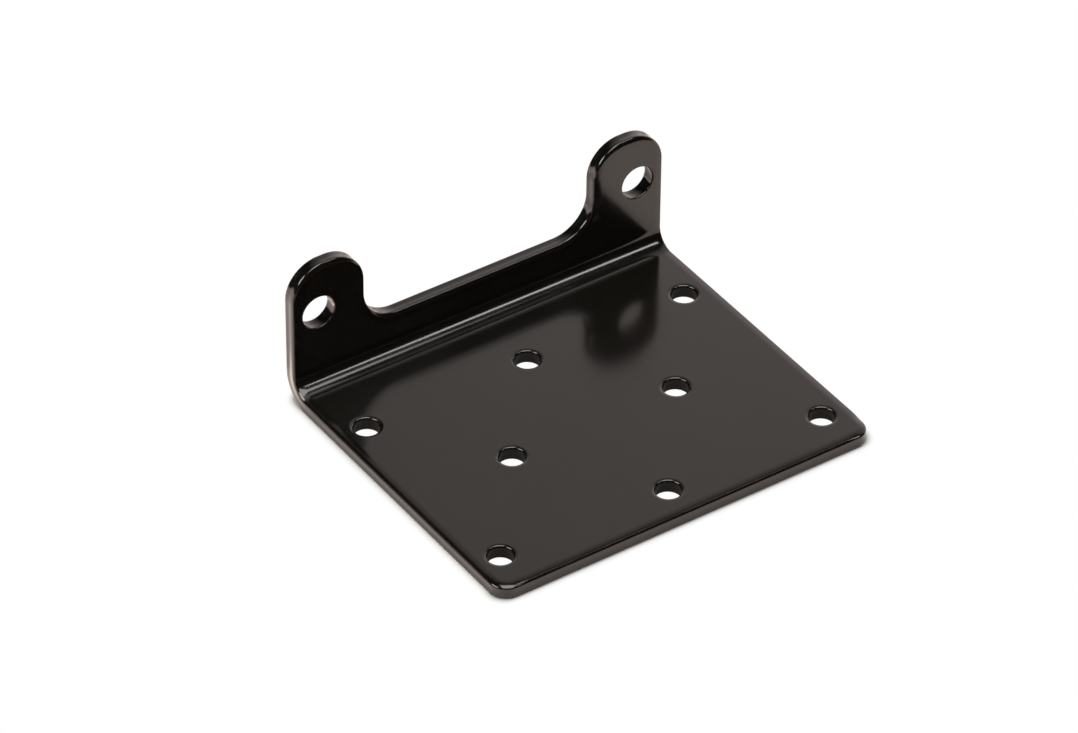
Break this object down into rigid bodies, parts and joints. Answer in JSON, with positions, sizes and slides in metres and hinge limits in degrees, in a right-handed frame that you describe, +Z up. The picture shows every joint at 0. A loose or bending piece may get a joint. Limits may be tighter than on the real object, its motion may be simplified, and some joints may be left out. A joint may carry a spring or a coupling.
{
  "type": "winch mounting plate",
  "caption": "Folded steel plate for a small winch: a flat base with bolt holes and an upright flange whose rounded ears carry a fairlead.",
  "frame": {"origin": "centre of the pattern of corner holes in the base, on the underside of the plate", "axes": "+X along the bend, +Y from the front edge towards the flange, +Z up from the base towards the ears"},
  "size_m": [0.1434, 0.1231, 0.0518],
  "materials": {
    "gloss_black_coat": "gloss black coat over the whole sheet, edges and holes included"
  },
  "bodies": {
    "root": {"mounting_plate": "gloss_black_coat"}
  },
  "joints": []
}
